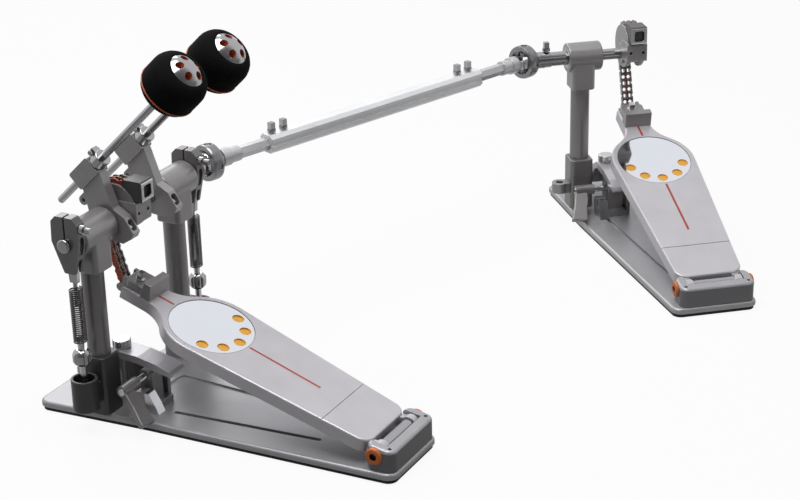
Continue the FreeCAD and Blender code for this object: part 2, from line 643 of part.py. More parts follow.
def spring(post_x, side):
    """Return a spring on the line between its foot and its hanger."""
    lift = SPRING_BOTTOM - SPRING_FOOT_Z
    coil = moved(spring_coil(), vec(0, 0, lift))
    x = post_x + side * SPRING_X
    return moved(turned(coil, hang_line()[1], ALONG, vec(0, 0, 0)), vec(x, SPRING_Y, SPRING_FOOT_Z))


def spring_seat(post_x, side):
    """Return the cup beside a post socket and the threaded stud whose eye the spring turns on."""
    x = post_x + side * SPRING_X
    cup = cyl_z(14, (27, 62), x, SPRING_Y).cut(cyl_z(11, (44, 63), x, SPRING_Y))
    cup = soften(cup, 1.0, level(62))
    arm = box(outward(post_x, side, 15, SPRING_X - 12.5), (-10, 4), (29, 52))
    cup = fuse(cup, arm).cut(cyl_z(11, (44, 63), x, SPRING_Y))
    stud = cyl_z(3.5, (44, SPRING_FOOT_Z - 2), x, SPRING_Y)
    eye = cyl_x(3.8, (x - 3.0, x + 3.0), SPRING_Y, SPRING_FOOT_Z)
    return cup, fuse(stud, eye)


def tension_nut(post_x, side):
    """Return the knurled nut that sets a spring's tension, a ball with flutes all round."""
    x = post_x + side * SPRING_X
    middle = vec(x, SPRING_Y, NUT_Z)
    nut = Part.makeSphere(10.5, middle).common(cyl_z(9.8, (NUT_Z - 9, NUT_Z + 9), x, SPRING_Y))
    for step in range(6):
        angle = math.radians(60 * step)
        nut = nut.cut(cyl_z(2.6, (60, 110), x + 10.6 * math.cos(angle), SPRING_Y + 10.6 * math.sin(angle)))
    return nut.cut(cyl_z(3.5 + RUN_GAP, (60, 110), x, SPRING_Y))


# Hoop clamp beside a post

def clamp_bracket(post_x):
    """Return the bracket of the clamp: lever bearing, arm pivot ears and their pins."""
    x = post_x + CLAMP_DX
    foot = box((x - 12, x + 12), (LEVER_Y - 18, LEVER_Y + 12), (BASE_TOP, 18))
    bearing_block = box((x - 9, x + 9), (LEVER_Y - 8, LEVER_Y + 8), (18, LEVER_Z + 5))
    bearing_block = soften(bearing_block, 3.0, lambda edge: lengthwise(edge) and edge.Vertexes[0].Point.z > 30)
    ears = [box((x + side * 16 - 2.5, x + side * 16 + 2.5), (ARM_PIVOT_Y - reach, ARM_PIVOT_Y + 8),
                (BASE_TOP, ARM_PIVOT_Z + 8)) for side, reach in ((-1, 8), (1, 70))]
    lever_pin = cyl_x(4.0, (post_x - 17, x + 12), LEVER_Y, LEVER_Z)
    arm_pin = cyl_x(3.5, (x - 18.5, x + 20), ARM_PIVOT_Y, ARM_PIVOT_Z)
    return [fuse(foot, bearing_block, lever_pin), arm_pin] + [ear.cut(arm_pin) for ear in ears]


def clamp_arm(post_x):
    """Return the rocking arm of the hoop clamp: jaw at the drum side, a long curved tail at the heel side."""
    x = post_x + CLAMP_DX
    side_view = [(44, 28), (51, 30), (51, 37), (40, 45), (24, 54), (-2, 68), (-30, 66.5), (-54, 62), (-70, 57),
                 (-74, 53), (-70, 50.5), (-52, 54), (-28, 58.5), (-4, 60), (8, 54), (12, 34), (30, 33),
                 (36, 34), (39, 28)]
    arm = prism_x(side_view, (x - 12.5, x + 12.5))
    arm = soften(arm, 1.5, lengthwise)
    arm = arm.cut(cyl_x(3.5 + RUN_GAP, (x - 30, x + 30), ARM_PIVOT_Y, ARM_PIVOT_Z))
    return arm.cut(cyl_z(4.0, (30, 80), x, SCREW_Y))


def clamp_screw(post_x):
    """Return the thumb screw of the clamp with its knurled head."""
    x = post_x + CLAMP_DX
    head = soften(cyl_z(10.0, (68.5, 77), x, SCREW_Y), 1.5, level(77))
    for step in range(16):
        angle = math.radians(22.5 * step)
        head = head.cut(cyl_z(0.9, (66, 80), x + 10.1 * math.cos(angle), SCREW_Y + 10.1 * math.sin(angle)))
    return fuse(head, cyl_z(4.0, (BASE_TOP + 0.4, 69), x, SCREW_Y))


def clamp_lever(post_x):
    """Return the side lever of the clamp: a hub on its pin and a wing that hangs towards the heel."""
    hub = cyl_x(6.5, (post_x - 16, post_x + 9))
    outline = [(post_x - 15, 4), (post_x - 1, 4), (post_x - 2, -16), (post_x - 6, -26), (post_x - 9, -45),
               (post_x - 29, -42), (post_x - 21, -20)]
    wing = soften(prism_z(outline, (-4, 3)), 1.2, lambda edge: True)
    wing = turned(wing, LEVER_DROP, ALONG, vec(0, 0, 0))
    body = fuse(hub, wing).cut(cyl_x(4.0 + RUN_GAP, (post_x - 30, post_x + 24)))
    return moved(body, vec(0, LEVER_Y, LEVER_Z))


def lever_rest(post_x):
    """Return the bevelled block on the base beside the lever's wing."""
    side_view = [(-34, BASE_TOP), (-62, BASE_TOP), (-58, 20), (-50, 33), (-34, 33)]
    return prism_x(side_view, (post_x + 11, post_x + 23))


def spring_lug(post_x):
    """Return the bare lug beside the second pedal's socket, with an upright hole."""
    x = post_x - 27
    arm = fuse(cyl_z(10, (33, 46), x, -5), box((x, post_x - 15), (-13, 3), (33, 46)))
    return arm.cut(cyl_z(5.0, (30, 50), x, -5))


# Drive shaft, in its own frame: x along the shaft from the main universal joint

def fork(length, centre, heading, upright_pins, slack):
    """Return a joint fork on the X axis: a boss at length from the joint centre and two arms over it."""
    boss = cyl_x(10.5, tuple(sorted((heading * 16, heading * length))))
    reach = tuple(sorted((heading * 17, -heading * 6)))
    arms = []
    for side in (-1, 1):
        span = tuple(sorted((side * 7.5, side * 12.6)))
        arms.append(box(reach, (-5.5, 5.5), span) if upright_pins else box(reach, span, (-5.5, 5.5)))
    rounded_arms = [arm.common(Part.makeSphere(17.5)) for arm in arms]
    body = fuse(boss, *rounded_arms)
    tip = Part.makeSphere(14.2).fuse(box(tuple(sorted((heading * 10, heading * 80))), (-11.4, 11.4), (-11.4, 11.4)))
    body = body.common(tip.fuse(cyl_x(10.5, tuple(sorted((heading * 10, heading * 80))))))
    hole = cyl_z(PIN_R + slack, (-20, 20)) if upright_pins else cyl_y(PIN_R + slack, (-20, 20))
    return moved(body.cut(hole), centre)


def joint_ring():
    """Return a joint's ring about the X axis with the four pins that reach into the forks."""
    ring = cyl_x(RING_R, (-RING_HALF, RING_HALF)).common(Part.makeSphere(RING_R + 0.4))
    ring = ring.cut(cyl_x(RING_BORE, (-RING_HALF - 1, RING_HALF + 1)))
    pins = [cyl_z(PIN_R, (8, RING_R - 2)), cyl_z(PIN_R, (2 - RING_R, -8))]
    pins += [cyl_y(PIN_R, (8, RING_R - 2)), cyl_y(PIN_R, (2 - RING_R, -8))]
    dimples = [cyl_z(4.5, (RING_R - 1.5, RING_R + 2)), cyl_y(4.5, (-RING_R - 2, 1.5 - RING_R)),
               cyl_z(4.5, (-RING_R - 2, 1.5 - RING_R)), cyl_y(4.5, (RING_R - 1.5, RING_R + 2))]
    ring = fuse(ring, *pins)
    for dimple in dimples:
        ring = ring.cut(dimple)
    return ring


def main_joint():
    """Return the centre of the main pedal's universal joint."""
    return vec(JOINT_X, 0, AXLE_Z)


def second_joint():
    """Return the centre of the second pedal's universal joint."""
    return on_second(Part.Vertex(vec(SECOND_JOINT_X, 0, AXLE_Z))).Point


def shaft_turn():
    """Return the direction of the drive shaft in the floor plan, in degrees."""
    reach = second_joint() - main_joint()
    return math.degrees(math.atan2(reach.y, reach.x))


def on_shaft(shape):
    """Move a shape from the shaft's frame to its place."""
    return moved(turned(shape, shaft_turn(), UP, vec(0, 0, 0)), main_joint())


def drive_rod(start, end, length, heading):
    """Return a fork with its collar and the hexagonal rod that slides in the sleeve."""
    yoke = fork(27, vec(start, 0, 0), heading, False, RUN_GAP)
    collar = cyl_x(9.0, tuple(sorted((start + heading * 27, start + heading * 41))))
    rod = hex_bar(HEX_AF, tuple(sorted((start + heading * 40, end))))
    return fuse(yoke, collar, rod)


def drive_sleeve():
    """Return the extruded sleeve: an eight-sided bar with a hexagonal bore and grooved sides."""
    h, c = SLEEVE_HALF, SLEEVE_HALF - 4.0
    corners = [(-c, -h), (c, -h), (h, -c), (h, c), (c, h), (-c, h), (-h, c), (-h, -c)]
    sleeve = prism_x(corners, (SLEEVE_START, SLEEVE_END))
    sleeve = sleeve.cut(hex_bar(HEX_AF + 0.3, (SLEEVE_START - 1, SLEEVE_END + 1)))
    for side in (-1, 1):
        groove = box((SLEEVE_START - 1, SLEEVE_END + 1), tuple(sorted((side * (h - 1.2), side * (h + 1)))), (-2, 2))
        sleeve = sleeve.cut(groove)
    for at in sleeve_bolt_places():
        sleeve = sleeve.cut(cyl_z(3.0, (6, h + 1), at))
    return sleeve


def sleeve_bolt_places():
    """Return the places of the four clamp bolts along the sleeve."""
    return (SLEEVE_START + 8, SLEEVE_START + 25, SLEEVE_END - 33, SLEEVE_END - 15)


def sleeve_bolts():
    """Return the four drum-key bolts that clamp the sleeve on its rods."""
    low = HEX_AF / 2 + 0.2
    return [moved(key_bolt(SLEEVE_HALF - low + 2.0), vec(at, 0, low)) for at in sleeve_bolt_places()]


def on_second(shape):
    """Move a shape from the second pedal's frame to its place."""
    return moved(turned(shape, SECOND_TURN, UP, vec(0, 0, 0)), vec(SECOND_X, SECOND_Y, 0))


# Axles

def main_axle():
    """Return the main axle, from the left rocker to its spigot in the far holder."""
    return cyl_x(AXLE_R, (POST_LEFT_X - ROCKER_OUT, FAR_X), 0, AXLE_Z)


def far_shaft():
    """Return the shaft of the far beater with the fork of the main universal joint."""
    shaft = cyl_x(AXLE_R, (FAR_X + 0.3, JOINT_X - 20), 0, AXLE_Z)
    return fuse(shaft, fork(24, main_joint(), -1, True, PIN_SLACK))


def second_axle():
    """Return the second pedal's axle with its fork and the collar and bolt that clamp it."""
    joint = vec(SECOND_JOINT_X, 0, AXLE_Z)
    shaft = cyl_x(AXLE_R, (SECOND_JOINT_X + 20, CAM_HALF + 4), 0, AXLE_Z)
    collar = cyl_x(10.0, (SECOND_JOINT_X + 24, SECOND_JOINT_X + 34), 0, AXLE_Z)
    sleeve = cyl_x(9.0, (SECOND_JOINT_X + 34, SECOND_POST_X - 20), 0, AXLE_Z)
    return fuse(shaft, collar, sleeve, fork(26, joint, 1, True, PIN_SLACK))


def second_key_bolt():
    """Return the drum-key bolt on top of the second pedal's joint collar."""
    return moved(key_bolt(2.0), vec(SECOND_JOINT_X + 29, 0, AXLE_Z + 10.0))


def pedal_nodes(name, outline, groove, posts, spans, extra):
    """Return the nodes that both pedals share, by name, in the pedal's own frame."""
    run, loose, wound = chain()
    castings = [post_socket(x) for x in posts] + [bearing_head(x, *span) for x, span in zip(posts, spans)]
    castings += clamp_bracket(posts[0]) + [lever_rest(posts[0])] + extra
    nodes = {
        "base_plate": base_plate(outline, groove),
        "floor_mat": floor_mat(outline),
        "post_castings": castings,
        "post_tubes": [post_tube(x) for x in posts],
        "axle_bearings": [ring for span in spans for ring in bearings(*span)],
        "heel_block": heel_block(),
        "hinge_set": [hinge_rod()] + hinge_bushings(),
        "clamp_arm": [clamp_arm(posts[0]), clamp_screw(posts[0])],
        "clamp_lever": clamp_lever(posts[0]),
        "footboard": footboard(),
        "toe_block": toe_block() + [clamp_bolt()],
        "board_disc": mirror_disc(),
        "cam": cam(),
        "cam_chain": wound,
        "chain_run": run,
    }
    for number, link in enumerate(loose, 1):
        nodes[f"chain_link_{number}"] = link
    return {f"{name}_{key}": shape for key, shape in nodes.items()}


def main_nodes():
    """Return every node of the main pedal and its beaters."""
    outline = [(-48, HEEL_Y), (48, HEEL_Y), (58, -150), (116, -60), (116, 24), (64, 28), (22, TOE_Y),
               (-73, TOE_Y), (-62, -60)]
    posts = (POST_LEFT_X, POST_RIGHT_X)
    spans = [(x - HEAD_HALF, x + HEAD_HALF) for x in posts]
    nodes = pedal_nodes("main", outline, ((-30, -75), (-15, -239)), posts, spans, [])
    nodes["main_axle"] = main_axle()
    nodes["far_shaft"] = far_shaft()
    seats = []
    sides = (("near", NEAR_X, "left", POST_LEFT_X, -1), ("far", FAR_X, "right", POST_RIGHT_X, 1))
    for name, x, hand, post_x, side in sides:
        nodes[f"{name}_beater_holder"] = beater_holder(x, name == "far")
        hardware = holder_bolts(x, name == "far") + [memory_collar(x)] + rocker_bolts(post_x, side)
        nodes[f"{name}_holder_hardware"] = hardware
        nodes[f"{name}_beater_rod"] = [beater_rod(x), beater_cap(x)]
        nodes[f"{name}_beater_head"] = beater_head(x)
        nodes[f"{hand}_rocker"] = rocker(post_x, side)
        nodes[f"{hand}_hanger"] = hanger(post_x, side)
        nodes[f"{hand}_spring"] = spring(post_x, side)
        nodes[f"{hand}_tension_nut"] = tension_nut(post_x, side)
        seats += spring_seat(post_x, side)
    nodes["spring_seats"] = seats
    return nodes


def second_nodes():
    """Return every node of the second pedal, moved to its place."""
    outline = [(-54, HEEL_Y), (48, HEEL_Y), (58, -60), (58, TOE_Y), (-86, TOE_Y), (-80, -50)]
    posts = (SECOND_POST_X,)
    spans = [(SECOND_POST_X - 19, SECOND_POST_X + 25)]
    lug = [spring_lug(SECOND_POST_X)]
    nodes = pedal_nodes("second", outline, ((-44, -62), (-27, -238)), posts, spans, lug)
    nodes["second_axle"] = [second_axle(), second_key_bolt()]
    return {name: [on_second(solid) for solid in as_list(shape)] for name, shape in nodes.items()}


def shaft_nodes():
    """Return the drive shaft's nodes, moved to their place."""
    length = (second_joint() - main_joint()).Length
    nodes = {
        "main_joint_ring": joint_ring(),
        "second_joint_ring": moved(joint_ring(), vec(length, 0, 0)),
        "main_drive_rod": drive_rod(0, 240, length, 1),
        "second_drive_rod": drive_rod(length, 256, length, -1),
        "drive_sleeve": drive_sleeve(),
        "sleeve_bolts": sleeve_bolts(),
    }
    return {name: [on_shaft(solid) for solid in as_list(shape)] for name, shape in nodes.items()}


def as_list(shape):
    """Return a shape, or a list of shapes, as a list."""
    return shape if isinstance(shape, list) else [shape]


def wire_gap():
    """Return the least gap between a spring's turns, measured between points on neighbouring turns."""
    height = SPRING_TOP - SPRING_BOTTOM
    spot = lambda turns: vec(SPRING_R * math.cos(2 * math.pi * turns), SPRING_R * math.sin(2 * math.pi * turns),
                             height * turns / SPRING_TURNS)
    samples = [0.5 + step / 100 for step in range(100)]
    return min((spot(t) - spot(0)).Length for t in samples) - 2 * WIRE_R


def main():
    """Build every node and write one file for each."""
    os.makedirs("parts", exist_ok=True)
    nodes = {**main_nodes(), **second_nodes(), **shaft_nodes()}
    for name, shape in nodes.items():
        solids = [solid for piece in as_list(shape) for solid in piece.Solids]
        whole = solids[0] if len(solids) == 1 else Part.makeCompound(solids)
        if not whole.isValid():
            print("not valid:", name)
        whole.exportStep(f"parts/{name}.step")
    print("nodes:", len(nodes), "least gap between spring turns:", round(wire_gap(), 2), "mm")


main()
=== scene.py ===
"""Dresses the double bass drum pedal: its castings, steel and felt, the soft beaters and the wound springs.

Lengths are in metres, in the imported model's frame. Patterns work in millimetres, in the frame of the piece
that they are on: a pedal, its footboard, a beater rod or the drive shaft.
"""
import logging
import math
from dataclasses import dataclass
from enum import Enum
from typing import Any, Optional, Sequence, Union

import bmesh
import bpy
from mathutils import Matrix, Vector


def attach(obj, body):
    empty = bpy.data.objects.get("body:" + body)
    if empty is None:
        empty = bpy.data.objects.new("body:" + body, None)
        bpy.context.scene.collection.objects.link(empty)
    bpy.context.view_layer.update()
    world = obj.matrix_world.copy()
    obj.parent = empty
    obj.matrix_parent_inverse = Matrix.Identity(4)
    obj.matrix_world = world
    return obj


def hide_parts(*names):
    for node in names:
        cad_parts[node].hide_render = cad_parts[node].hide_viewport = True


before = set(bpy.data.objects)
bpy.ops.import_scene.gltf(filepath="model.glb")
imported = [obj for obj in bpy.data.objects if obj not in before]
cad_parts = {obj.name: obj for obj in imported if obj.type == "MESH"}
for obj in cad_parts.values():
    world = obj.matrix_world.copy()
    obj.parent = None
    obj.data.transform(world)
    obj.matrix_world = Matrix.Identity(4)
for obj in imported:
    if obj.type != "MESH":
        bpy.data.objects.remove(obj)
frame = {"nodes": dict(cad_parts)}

LOG = logging.getLogger("pedal")
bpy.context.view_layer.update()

Triple = tuple[float, float, float]
Colour = Triple
Value = Union[float, "Sock"]

# Where things stand at rest, in metres: the axles' height, the footboard's hinge and rise, the second pedal,
# the drive shaft's start and turn, and the two beaters with their lean.
AXLE = 0.212
HINGE = (0.0, -0.320, 0.027)
BOARD_TILT = math.radians(18.3)
SECOND_PLACE = (0.7258, -0.2698, 0.0)
SECOND_TURN = math.radians(-49.37)
SHAFT_START = (0.165, 0.0, AXLE)
SHAFT_TURN = math.radians(-19.2353)
NEAR_BEATER = -0.01975
FAR_BEATER = 0.058
LEAN = math.radians(46.0)
ZERO = (0.0, 0.0, 0.0)

# For patterns, in millimetres: a disc's middle from the hinge, a beater rod's distance from its axle, and
# the reach of a zone that is open on a side.
DISC_AT = 228.0
ROD_AT = 50.2
OPEN_END = 9999.0
MILLIMETRES = 1000.0

# The scale and detail of the noises, the depth of fine relief in metres, and the steps of a full round.
BROAD_NOISE = (0.035, 4.0)
SCUFF_NOISE = (0.25, 5.0)
FINE_DETAIL = 2.0
RELIEF = 0.0003
ROUND_STEPS = 72

# The side of the studio that reflections show as dim, and the tones of the surround.
DIM_SIDE = (-0.7925, -0.61, 0.0)
WHITE = (1.0, 1.0, 1.0)
BRIGHT_WALL = (0.90, 0.91, 0.94)


class Place(Enum):
    """The frames that patterns are drawn in."""

    MAIN = "main pedal"
    SECOND = "second pedal"
    MAIN_BOARD = "main footboard"
    SECOND_BOARD = "second footboard"
    SHAFT = "drive shaft"
    NEAR_ROD = "near beater rod"
    FAR_ROD = "far beater rod"

    def steps(self) -> list[tuple[Triple, Triple]]:
        """Give the way from the model's frame to this one.

        Returns:
            The (location, rotation) steps.
        """
        board = (HINGE, (BOARD_TILT, 0.0, 0.0))
        second = (SECOND_PLACE, (0.0, 0.0, SECOND_TURN))
        return {
            Place.MAIN: [(ZERO, ZERO)],
            Place.SECOND: [second],
            Place.MAIN_BOARD: [board],
            Place.SECOND_BOARD: [second, board],
            Place.SHAFT: [(SHAFT_START, (0.0, 0.0, SHAFT_TURN))],
            Place.NEAR_ROD: [((NEAR_BEATER, 0.0, AXLE), (LEAN, 0.0, 0.0))],
            Place.FAR_ROD: [((FAR_BEATER, 0.0, AXLE), (LEAN, 0.0, 0.0))],
        }[self]


class Sock:
    """A shader value; Python's operators on it add Math nodes."""

    def __init__(self, graph: "Graph", socket: bpy.types.NodeSocket) -> None:
        """Wrap a socket of a graph."""
        self.graph = graph
        self.socket = socket

    def math(self, operation: str, a: Value, b: Value = 0.0) -> "Sock":
        """Return a Math node's result for two values."""
        return self.graph.node("ShaderNodeMath", {"operation": operation}, {0: a, 1: b})

    def __add__(self, other: Value) -> "Sock":
        """Return self + other."""
        return self.math("ADD", self, other)

    __radd__ = __add__

    def __mul__(self, other: Value) -> "Sock":
        """Return self * other."""
        return self.math("MULTIPLY", self, other)

    __rmul__ = __mul__

    def __sub__(self, other: Value) -> "Sock":
        """Return self - other."""
        return self.math("SUBTRACT", self, other)

    def __rsub__(self, other: Value) -> "Sock":
        """Return other - self."""
        return self.math("SUBTRACT", other, self)

    def __gt__(self, other: Value) -> "Sock":
        """Return 1 where self is above other."""
        return self.math("GREATER_THAN", self, other)

    def __lt__(self, other: Value) -> "Sock":
        """Return 1 where self is below other."""
        return self.math("LESS_THAN", self, other)

    def __abs__(self) -> "Sock":
        """Return the value without its sign."""
        return self.math("ABSOLUTE", self)

    def most(self, other: Value) -> "Sock":
        """Return the larger of two values."""
        return self.math("MAXIMUM", self, other)

    def least(self, other: Value) -> "Sock":
        """Return the smaller of two values."""
        return self.math("MINIMUM", self, other)

    def root(self) -> "Sock":
        """Return the square root."""
        return self.math("SQRT", self)

    def clamped(self) -> "Sock":
        """Return the value held between 0 and 1."""
        return self.most(0.0).least(1.0)


class Graph:
    """A node tree; its nodes all come from one method."""

    def __init__(self, tree: bpy.types.NodeTree) -> None:
        """Start from an empty tree."""
        self.tree = tree
        tree.nodes.clear()

    def node(self, kind: str, settings: Optional[dict[str, Any]] = None,
             inputs: Optional[dict[Union[int, str], Any]] = None, out: Union[int, str] = 0) -> Sock:
        """Add a node.

        Args:
            kind: The node's type.
            settings: Its properties; "stops" holds the (position, colour) stops of a ramp.
            inputs: Values or links for its sockets, by index or name.
            out: The output to return.

        Returns:
            The chosen output.
        """
        made = self.tree.nodes.new(kind)
        for key, value in (settings or {}).items():
            if key == "stops":
                ramp = made.color_ramp
                while len(ramp.elements) < len(value):
                    ramp.elements.new(0.5)
                for element, (position, colour) in zip(ramp.elements, value):
                    element.position = position
                    element.color = (*colour, 1.0)
            else:
                setattr(made, key, value)
        for key, value in (inputs or {}).items():
            if isinstance(value, Sock):
                self.tree.links.new(value.socket, made.inputs[key])
            elif isinstance(value, tuple) and len(value) == 3 and made.inputs[key].type == "RGBA":
                made.inputs[key].default_value = (*value, 1.0)
            else:
                made.inputs[key].default_value = value
        return Sock(self, made.outputs[out]) if made.outputs else None

    def point(self, place: Place) -> Sock:
        """Find the surface point in a place's frame.

        Args:
            place: The frame.

        Returns:
            The point in millimetres.
        """
        spot = self.node("ShaderNodeTexCoord", out="Object")
        for location, rotation in place.steps():
            spot = self.node("ShaderNodeMapping", {"vector_type": "TEXTURE"},
                             {"Vector": spot, "Location": location, "Rotation": rotation})
        return self.node("ShaderNodeVectorMath", {"operation": "SCALE"}, {0: spot, "Scale": MILLIMETRES})

    def split(self, point: Sock) -> tuple[Sock, Sock, Sock]:
        """Take a point apart.

        Args:
            point: The point.

        Returns:
            Its three values.
        """
        first = self.node("ShaderNodeSeparateXYZ", None, {0: point})
        outputs = first.socket.node.outputs
        return Sock(self, outputs[0]), Sock(self, outputs[1]), Sock(self, outputs[2])

    def noise(self, point: Sock, scale: float, detail: float, stretch: Optional[Triple] = None) -> Sock:
        """Lay a noise over the surface.

        Args:
            point: The surface point.
            scale: The noise's scale.
            detail: Its detail.
            stretch: Factors along the axes, for a noise that runs along one of them.

        Returns:
            The noise's value.
        """
        if stretch is not None:
            point = self.node("ShaderNodeVectorMath", {"operation": "MULTIPLY"}, {0: point, 1: stretch})
        return self.node("ShaderNodeTexNoise", None, {"Vector": point, "Scale": scale, "Detail": detail})

    def mix(self, factor: Value, a: Any, b: Any) -> Sock:
        """Return a colour between a and b."""
        return self.node("ShaderNodeMix", {"data_type": "RGBA"}, {0: factor, 6: a, 7: b}, out=2)

    def edges(self, radius: float) -> tuple[Sock, Sock]:
        """Find the edges.

        Args:
            radius: How far an edge reaches, in metres.

        Returns:
            A mask of the edges, and the rounded normal.
        """
        rounded = self.node("ShaderNodeBevel", {"samples": 4}, {"Radius": radius})
        flat = self.node("ShaderNodeNewGeometry", out="Normal")
        return ((1.0 - self.dot(rounded, flat)) * 7.0).clamped(), rounded

    def dot(self, a: Sock, b: Union[Sock, Triple]) -> Sock:
        """Return the dot product of two vectors."""
        return self.node("ShaderNodeVectorMath", {"operation": "DOT_PRODUCT"}, {0: a, 1: b}, out="Value")

    def ramp(self, at: Sock, stops: Sequence[tuple[float, Colour]]) -> Sock:
        """Return a colour ramp's colour at a value."""
        return self.node("ShaderNodeValToRGB", {"stops": stops}, {0: at})


@dataclass(frozen=True)
class Zone:
    """A part of a surface with its own colour and gloss, for finishes of its own and for painted shade: a
    box, or rounds about places (x, y), in millimetres.
    """

    colour: Colour
    roughness: float = 0.35
    metallic: float = 0.0
    low: Triple = (-OPEN_END, -OPEN_END, -OPEN_END)
    high: Triple = (OPEN_END, OPEN_END, OPEN_END)
    rounds: tuple[tuple[float, float], ...] = ()
    radius: float = 0.0
    inner: float = 0.0
    mirrored: bool = False

    def mask(self, graph: Graph, point: Sock) -> Value:
        """Return 1 inside the zone and 0 outside.

        Args:
            graph: The material's graph.
            point: The surface point in millimetres.

        Returns:
            The mask.
        """
        values = graph.split(point)
        inside: Value = 1.0
        for index, value in enumerate(values):
            if index == 0 and self.mirrored:
                value = abs(value)
            if self.low[index] > -OPEN_END:
                inside = (value > self.low[index]) * inside
            if self.high[index] < OPEN_END:
                inside = (value < self.high[index]) * inside
        if self.rounds:
            nearest: Optional[Sock] = None
            for x, y in self.rounds:
                dx, dy = values[0] - x, values[1] - y
                away = (dx * dx + dy * dy).root()
                nearest = away if nearest is None else nearest.least(away)
            inside = (nearest < self.radius) * inside
            if self.inner > 0.0:
                inside = (nearest > self.inner) * inside
        return inside


@dataclass(frozen=True)
class Finish:
    """A surface: its colour and gloss, how they vary, and its fine relief."""

    colour: Colour
    roughness: float
    metallic: float
    grain: float = 1.2
    grain_depth: float = 0.12
    stretch: Optional[Triple] = None
    variation: float = 0.10
    edge_colour: Optional[Colour] = None
    edge_radius: float = 0.0007
    gloss: float = 0.5

    def make(self, name: str, place: Place, zones: Sequence[Zone] = ()) -> bpy.types.Material:
        """Return the material.

        Args:
            name: The material's name.
            place: The frame of its patterns.
            zones: Parts of the surface with their own finish, some of them painted shade.

        Returns:
            A node material.
        """
        material = bpy.data.materials.new(name)
        material.use_nodes = True
        graph = Graph(material.node_tree)
        point = graph.point(place)
        broad = graph.noise(point, *BROAD_NOISE)
        fine = graph.noise(point, self.grain, FINE_DETAIL, self.stretch)
        dark = tuple(c * (1.0 - self.variation) for c in self.colour)
        pale = tuple(min(1.0, c * (1.0 + self.variation)) for c in self.colour)
        colour = graph.mix(broad, dark, pale)
        rough = (broad - 0.5) * 0.10 + (fine - 0.5) * 0.06 + self.roughness
        metal: Value = self.metallic
        normal_in: dict[str, Any] = {}
        if self.edge_colour is not None:
            edge, rounded = graph.edges(self.edge_radius)
            scuffed = (edge * (graph.noise(point, *SCUFF_NOISE) + 0.25)).clamped()
            colour = graph.mix(scuffed, colour, self.edge_colour)
            rough = rough - scuffed * 0.12
            normal_in["Normal"] = rounded
        for zone in zones:
            mask = zone.mask(graph, point)
            colour = graph.mix(mask, colour, zone.colour)
            rough = rough * (1.0 - mask) + mask * zone.roughness
            if zone.metallic != self.metallic:
                metal = (1.0 - mask) * metal + mask * zone.metallic
        bump = graph.node("ShaderNodeBump", None,
                          {"Strength": self.grain_depth, "Distance": RELIEF, "Height": fine, **normal_in})
        inputs: dict[Union[int, str], Any] = {
            "Base Color": colour, "Roughness": rough.clamped(), "Metallic": metal,
            "Normal": bump, "Specular IOR Level": self.gloss}
        shader = graph.node("ShaderNodeBsdfPrincipled", None, inputs)
        graph.node("ShaderNodeOutputMaterial", None, {"Surface": shader})
        return material


class Look(Enum):
    """The finishes of the pedal; the tube and rocker looks are the casting grey made darker, as painted
    shade.
    """

    CASTING = Finish((0.32, 0.308, 0.306), 0.33, 0.50, gloss=0.4, edge_colour=(0.54, 0.53, 0.53))
    # Painted shade: the casting grey made darker for the post tubes and the clamp levers.
    TUBE = Finish((0.25, 0.238, 0.236), 0.32, 0.50, gloss=0.4, edge_colour=(0.46, 0.45, 0.45))
    HOLDER = Finish((0.38, 0.368, 0.366), 0.34, 0.45, gloss=0.4, edge_colour=(0.58, 0.57, 0.57))
    # Painted shade: the casting grey made darker for the rockers.
    ROCKER = Finish((0.20, 0.192, 0.19), 0.30, 0.60, gloss=0.4, edge_colour=(0.46, 0.45, 0.45))
    BOARD = Finish((0.58, 0.56, 0.585), 0.32, 0.35, edge_colour=(0.82, 0.82, 0.84))
    BASE = Finish((0.41, 0.405, 0.42), 0.36, 0.40, gloss=0.35, edge_colour=(0.62, 0.62, 0.64))
    DARK = Finish((0.060, 0.058, 0.060), 0.34, 0.30, edge_colour=(0.40, 0.40, 0.42), edge_radius=0.0011)
    CHROME = Finish((0.42, 0.415, 0.42), 0.13, 1.0, grain_depth=0.02, variation=0.03)
    STEEL = Finish((0.36, 0.36, 0.37), 0.25, 1.0, grain_depth=0.06, stretch=(1.0, 1.0, 0.15))
    CHAIN = Finish((0.24, 0.235, 0.23), 0.28, 1.0, grain_depth=0.08)
    SLEEVE = Finish((0.88, 0.88, 0.89), 0.30, 0.25, grain_depth=0.10, stretch=(0.03, 1.0, 1.0),
                    edge_colour=(0.50, 0.50, 0.51))
    MIRROR = Finish((0.80, 0.815, 0.85), 0.05, 1.0, grain_depth=0.0, variation=0.01)
    FELT = Finish((0.0065, 0.0062, 0.0065), 0.92, 0.0, grain=2.2, grain_depth=0.9, variation=0.35,
                  gloss=0.08)
    MAT = Finish((0.02, 0.02, 0.02), 0.75, 0.0, grain=0.8, grain_depth=0.5)
    SPRING = Finish((0.13, 0.122, 0.12), 0.26, 1.0, grain_depth=0.04)
    ROD = Finish((0.60, 0.60, 0.61), 0.26, 0.5, grain_depth=0.05, edge_colour=(0.74, 0.74, 0.75))
    RING = Finish((0.27, 0.265, 0.27), 0.28, 0.85, edge_colour=(0.50, 0.50, 0.51))
    BRASS_RED = Finish((0.55, 0.10, 0.03), 0.45, 0.0, grain_depth=0.3)


RED = (0.40, 0.055, 0.035)
ORANGE = (0.62, 0.16, 0.03)
CORE_RED = (0.40, 0.085, 0.03)
CHAIN_RED = (0.42, 0.07, 0.03)
GOLD = (0.80, 0.42, 0.06)
BRIGHT = (0.60, 0.60, 0.61)
# Painted shade: the black in the hollows at the hinge ends.
HOLLOW_SHADE = (0.02, 0.02, 0.02)
# Painted shade: the greys of the post sockets, darker on the main pedal, whose socket stands in more shade.
MAIN_SOCKET_SHADE = (0.085, 0.082, 0.082)
SECOND_SOCKET_SHADE = (0.22, 0.212, 0.21)
CAM_BLOCK = (0.085, 0.083, 0.083)
# Painted shade: the darker grey of the heel block's front face.
HEEL_FRONT_SHADE = (0.17, 0.168, 0.172)
DISC_RIM = (0.12, 0.12, 0.12)


